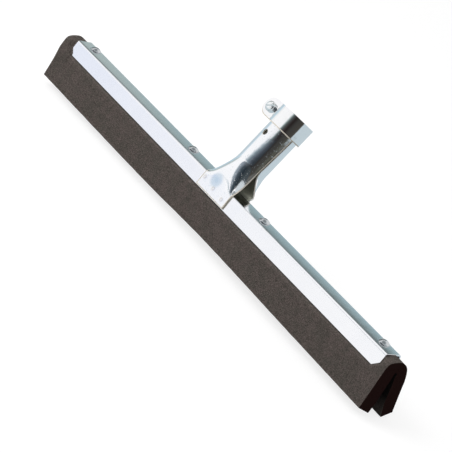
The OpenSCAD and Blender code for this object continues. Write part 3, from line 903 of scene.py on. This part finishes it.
def shell_rows(side):
    """The outer face, row by row from the foot's lower edge to the mouth."""
    spread = [2 * j / COLUMNS - 1 for j in range(COLUMNS + 1)]
    rows = []
    for k in range(FOOT_ROWS):
        z = FOOT_LOW + (FOOT_TOP - FOOT_LOW) * k / FOOT_ROWS
        rows.append([foot_point(side, u * HALF_SOCKET_FOOT[side], z) for u in spread])
    for k in range(FLARE_ROWS):
        rows.append([flare_point(side, u, k / FLARE_ROWS) for u in spread])
    for k in range(TUBE_ROWS + 1):
        z = FLARE_LENGTH + (SOCKET_LENGTH - FLARE_LENGTH) * k / TUBE_ROWS
        rows.append([tube_point(side, u, z) for u in spread])
    for _ in range(CREASE_TIMES):
        softened = [list(row) for row in rows]
        for i in range(FOOT_ROWS - CREASE_ROWS, FOOT_ROWS + CREASE_ROWS + 1):
            for j in range(COLUMNS + 1):
                softened[i][j] = (rows[i - 1][j] + 2 * rows[i][j] + rows[i + 1][j]) / 4
        rows = softened
    return rows


def inward_of(rows, i, j):
    """The direction from the outer face into the sheet."""
    up = rows[min(i + 1, len(rows) - 1)][j] - rows[max(i - 1, 0)][j]
    wide = rows[i][min(j + 1, len(rows[0]) - 1)] - rows[i][max(j - 1, 0)]
    return wide.cross(up).normalized()


def make_shell(side):
    """Both faces of a half-shell, the outer one with its weld dents."""
    outer = shell_rows(side)
    inner = []
    for i, row in enumerate(outer):
        inner.append([p + inward_of(outer, i, j) * SHELL * side for j, p in enumerate(row)])
    for i, row in enumerate(outer):
        for j, p in enumerate(row):
            dent = sum(
                math.exp(-((p[0] - x) ** 2 + (p[2] - z) ** 2) / WELD_SPREAD) for x, z in WELDS
            ) if i < FOOT_ROWS else 0.0
            row[j] = p + inward_of(outer, i, j) * side * WELD_DENT * dent
    return outer, inner


def solid_result(made):
    """Keeps what a piece's modifiers make of it as its own mesh."""
    depth = bpy.context.evaluated_depsgraph_get()
    mesh = bpy.data.meshes.new_from_object(made.evaluated_get(depth))
    made.modifiers.clear()
    made.data = mesh
    mesh.shade_smooth()
    mesh.set_sharp_from_angle(angle=SHARP)


def worked_steel(name, colour, bright, metallic, rough):
    """Steel that the plating hardly reached: the inside of a pressing, or a sheared edge. The
    colour given for the inside of a pressing is also darkened as painted shade.
    """
    made, tree = shader(name)
    place = add(tree, "ShaderNodeTexCoord").outputs["Object"]
    patches = add(tree, "ShaderNodeTexNoise", {"Vector": place, "Scale": 260.0, "Detail": 4.0})
    shade = add(tree, "ShaderNodeMixRGB", {
        "Fac": patches, "Color1": (*colour, 1.0), "Color2": (*bright, 1.0),
    })
    torn = add(tree, "ShaderNodeBump", {"Height": patches, "Strength": 0.3, "Distance": 0.0001})
    metal = add(tree, "ShaderNodeBsdfPrincipled", {
        "Base Color": shade, "Metallic": metallic, "Roughness": rough, "Normal": torn,
    })
    add(tree, "ShaderNodeOutputMaterial", {"Surface": metal})
    return made


# the inside of the shells and of the collar: dull olive steel, painted darker as the shade inside
# the socket
shaded_inside_steel = worked_steel("shaded_inside_steel", (0.28, 0.285, 0.22), (0.42, 0.43, 0.36), 0.2, 0.45)
cut_steel = worked_steel("cut_steel", (0.60, 0.54, 0.45), (0.84, 0.79, 0.70), 0.0, 0.5)
# A bluish darkening in the crook of the foot, and a faint burnt ring round each weld
shell_marks = [((-3.6, -8.4, 43.0), 7.5, (1.0, 0.75, 0.0), (0.60, 0.72, 0.82))]
for weld in WELDS:
    shell_marks.append((
        foot_point(-1, *weld), 2.4, (0.0, 0.5, 1.0, 0.3, 0.0), (0.80, 0.77, 0.74),
    ))
shell_zinc = bright_zinc(
    "shell_zinc", (0.95, 0.955, 0.975), 0.09, (0.90, 0.915, 0.945), 0.25, (1, 0.2, 0.2),
    marks=shell_marks, nicks=0.4,
)
drill = turned(
    "nail_drill", [(NAIL_RADIUS, BORE_RADIUS / 2), (NAIL_RADIUS, BORE_RADIUS + 8.0)],
    lambda x, y, z: in_socket(
        x * math.cos(NAIL_TURN) - z * math.sin(NAIL_TURN),
        -z * math.cos(NAIL_TURN) - x * math.sin(NAIL_TURN),
        NAIL_Z + y,
    ),
    shell_zinc, shaded_inside_steel, cut_steel,
)
for face in drill.data.polygons:
    face.material_index = CUT
for side, name, node in (
    (-1, "socket_front", "front_socket_shell"), (1, "socket_rear", "rear_socket_shell"),
):
    points, faces, coats = thick_sheet(*make_shell(side))
    if side < 0:
        # the sheared edges also show from outside, as a worn line one column or row wide
        coats[0:2 * COLUMNS:2] = [CUT] * COLUMNS
        for i in range(len(points) // (COLUMNS + 1) // 2 - 1):
            coats[2 * (i * COLUMNS)] = coats[2 * (i * COLUMNS + COLUMNS - 1)] = CUT
    shell = piece(name, points, faces, shell_zinc, shaded_inside_steel, cut_steel, coats=coats)
    if side < 0:
        hole = shell.modifiers.new("nail_hole", "BOOLEAN")
        hole.operation = "DIFFERENCE"
        hole.solver = "EXACT"
        hole.object = drill
        solid_result(shell)
    break_edges(shell, 0.3, 50, CUT if side < 0 else OUTSIDE)
    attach(shell, "head")
    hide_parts(node)
bpy.data.objects.remove(drill)


# THE CLAMP COLLAR. One strip of 2.1 mm steel, 16 mm wide, rolled round the socket's mouth. Both
# its ends turn out side by side as two round ears with a gap between them, zinc plated.
BAND = 2.1
BAND_RADIUS = 15.35
EAR_FACE = 3.6
EAR_BEND = 2.5
EAR_X = -23.5
COLLAR_LOW = SOCKET_LENGTH - COLLAR_WIDTH
# Steps round an ear's end, along its flat, round its bend and round the band
END_STEPS, FLAT_STEPS, BEND_ROUND, BAND_STEPS = 12, 3, 8, 72
# Heights across the strip, from its lower edge at -1 to its upper edge at 1
STRIP_HEIGHTS = (-1.0, -0.9, *(k / 6 for k in range(-5, 7)))


def collar_line():
    """The strip's outer face seen along the socket: (x, y, direction into it, half its width)."""
    bend_x = -math.sqrt((BAND_RADIUS + EAR_BEND) ** 2 - (EAR_FACE + EAR_BEND) ** 2)
    bend_y = EAR_FACE + EAR_BEND
    meet = math.atan2(-bend_y, -bend_x)
    side = []
    half = COLLAR_WIDTH / 2
    for k in range(END_STEPS + 1):
        reach = half * math.cos(math.radians(90) * k / END_STEPS)
        wide = max(0.02, math.sqrt(half ** 2 - reach ** 2))
        side.append((EAR_X - reach, EAR_FACE, (0, -1), wide))
    for k in range(1, FLAT_STEPS + 1):
        side.append((EAR_X + (bend_x - EAR_X) * k / FLAT_STEPS, EAR_FACE, (0, -1), half))
    for k in range(1, BEND_ROUND + 1):
        a = math.radians(-90) + (meet + math.radians(90)) * k / BEND_ROUND
        x, y = math.cos(a), math.sin(a)
        side.append((bend_x + EAR_BEND * x, bend_y + EAR_BEND * y, (x, y), half))
    start = math.atan2(bend_y, bend_x)
    ring = []
    for k in range(1, BAND_STEPS):
        a = start - 2 * start * k / BAND_STEPS
        x, y = math.cos(a), math.sin(a)
        ring.append((BAND_RADIUS * x, BAND_RADIUS * y, (-x, -y), half))
    mirrored = [(x, -y, (into[0], -into[1]), wide) for x, y, into, wide in reversed(side)]
    return side + ring + mirrored


def collar_grids():
    """Both faces of the strip, which is rolled in line with the socket."""
    outer, inner = [], []
    middle = COLLAR_LOW + COLLAR_WIDTH / 2
    for x, y, into, half in collar_line():
        heights = [middle + half * w for w in STRIP_HEIGHTS]
        outer.append([in_socket(x, y, z) for z in heights])
        inner.append([in_socket(x + into[0] * BAND, y + into[1] * BAND, z) for z in heights])
    return outer, inner


collar_zinc = bright_zinc(
    "collar_zinc", (0.95, 0.95, 0.96), 0.06, (0.90, 0.905, 0.92), 0.25, (1, 0.2, 0.2)
)
outer, inner = collar_grids()
points, faces, coats = thick_sheet(outer, inner)
# the sheared lower edge shows as a worn line, one narrow face wide
for i in range(len(outer) - 1):
    coats[2 * i * (len(STRIP_HEIGHTS) - 1)] = CUT
collar = piece("collar_strip", points, faces, collar_zinc, shaded_inside_steel, cut_steel, coats=coats)
break_edges(collar, 0.3, 50)
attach(collar, "collar")
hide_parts("clamp_collar")


# THE CLAMP SCREW AND NUT. A slotted M5 machine screw with a rounded cheese head lies across the
# two ears, its head on the front one, and a hexagon nut sits behind the rear one. Both plated.
SCREW_Z = SOCKET_LENGTH - COLLAR_WIDTH / 2
SCREW_HEAD_RADIUS, SCREW_HEAD_HEIGHT = 4.25, 3.3
SCREW_TOP = EAR_FACE + SCREW_HEAD_HEIGHT
THREAD_RADIUS, PITCH, THREAD_DEPTH = 2.5, 0.8, 0.42
THREAD_STEPS, PITCH_STEPS = 32, 10
SCREW_LENGTH = 16.0
SLOT_WIDTH, SLOT_DEPTH, SLOT_REACH = 1.2, 1.5, 6.0
SLOT_TURN = math.radians(35)
NUT_ACROSS, NUT_HEIGHT, NUT_STEPS = 8.0, 4.0, 96


def in_ears(x, y, z):
    """A point beside the screw's axis, z from the gap's middle towards the screw's head."""
    return in_socket(EAR_X + x, -z, SCREW_Z + y)


def screw_rings():
    """Rings up the thread from its tip, then out under the head and over its rounded top."""
    rings = []
    tip = EAR_FACE - SCREW_LENGTH
    count = int(SCREW_LENGTH / (PITCH / PITCH_STEPS))
    for i in range(count + 1):
        z = tip + SCREW_LENGTH * i / count
        ring = []
        for k, (x, y, _) in enumerate(circle(1.0, z, THREAD_STEPS)):
            ridge = abs(2 * ((z / PITCH - k / THREAD_STEPS) % 1.0) - 1)
            radius = THREAD_RADIUS - THREAD_DEPTH * (1 - ridge)
            radius = min(radius, THREAD_RADIUS - 0.6 + (z - tip))
            ring.append((radius * x, radius * y, z))
        rings.append(ring)
    for radius, z in (
        (SCREW_HEAD_RADIUS - 0.15, EAR_FACE + 0.02), (SCREW_HEAD_RADIUS, EAR_FACE + 0.2),
        (SCREW_HEAD_RADIUS, SCREW_TOP - 1.5), (SCREW_HEAD_RADIUS - 0.1, SCREW_TOP - 1.1),
        (SCREW_HEAD_RADIUS - 0.45, SCREW_TOP - 0.65), (SCREW_HEAD_RADIUS - 1.1, SCREW_TOP - 0.3),
        (SCREW_HEAD_RADIUS - 2.2, SCREW_TOP - 0.08), (0.6, SCREW_TOP),
    ):
        rings.append(circle(radius, z, THREAD_STEPS))
    return [[in_ears(*p) for p in ring] for ring in rings]


screw_zinc = bright_zinc("screw_zinc", (0.95, 0.96, 0.96), 0.24, (0.90, 0.92, 0.93), 0.3, (1, 1, 1))
screw = skinned("slotted_screw", screw_rings(), screw_zinc)
blade_ends = []
for z in (SCREW_TOP - SLOT_DEPTH, SCREW_TOP + 1.0):
    corners = []
    for along, over in ((-1, -1), (1, -1), (1, 1), (-1, 1)):
        along, over = along * SLOT_REACH, over * SLOT_WIDTH / 2
        corners.append(in_ears(
            along * math.cos(SLOT_TURN) - over * math.sin(SLOT_TURN),
            along * math.sin(SLOT_TURN) + over * math.cos(SLOT_TURN),
            z,
        ))
    blade_ends.append(corners)
saw = skinned("slot_saw", blade_ends, screw_zinc)
sawn = screw.modifiers.new("driver_slot", "BOOLEAN")
sawn.operation = "DIFFERENCE"
sawn.solver = "EXACT"
sawn.object = saw
solid_result(screw)
bpy.data.objects.remove(saw)
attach(screw, "screw")
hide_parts("clamp_screw")


def nut_rings():
    """Rings of the nut, from its bore over the chamfered hexagon and back into its bore."""
    flat = NUT_ACROSS / 2
    washer = flat * 0.97
    bore = THREAD_RADIUS + 0.03
    low = -EAR_FACE - NUT_HEIGHT
    rings = [[] for _ in range(6)]
    for k, (x, y, _) in enumerate(circle(1.0, 0.0, NUT_STEPS)):
        a = 2 * math.pi * k / NUT_STEPS
        hexagon = flat / math.cos((a + math.pi / 6) % (math.pi / 3) - math.pi / 6)
        drop = (hexagon - washer) * math.tan(math.radians(30))
        for ring, (radius, z) in zip(rings, (
            (bore, 0.25), (washer, 0.0), (hexagon, drop),
            (hexagon, NUT_HEIGHT - drop), (washer, NUT_HEIGHT), (bore, NUT_HEIGHT - 0.25),
        )):
            ring.append(in_ears(radius * x, radius * y, low + z))
    return rings


nut_zinc = bright_zinc("nut_zinc", (0.80, 0.82, 0.84), 0.2, (0.72, 0.74, 0.76), 0.3, (1, 1, 1))
nut = skinned("hexagon_nut", nut_rings(), nut_zinc, hoop=True)
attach(nut, "nut")
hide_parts("clamp_nut")
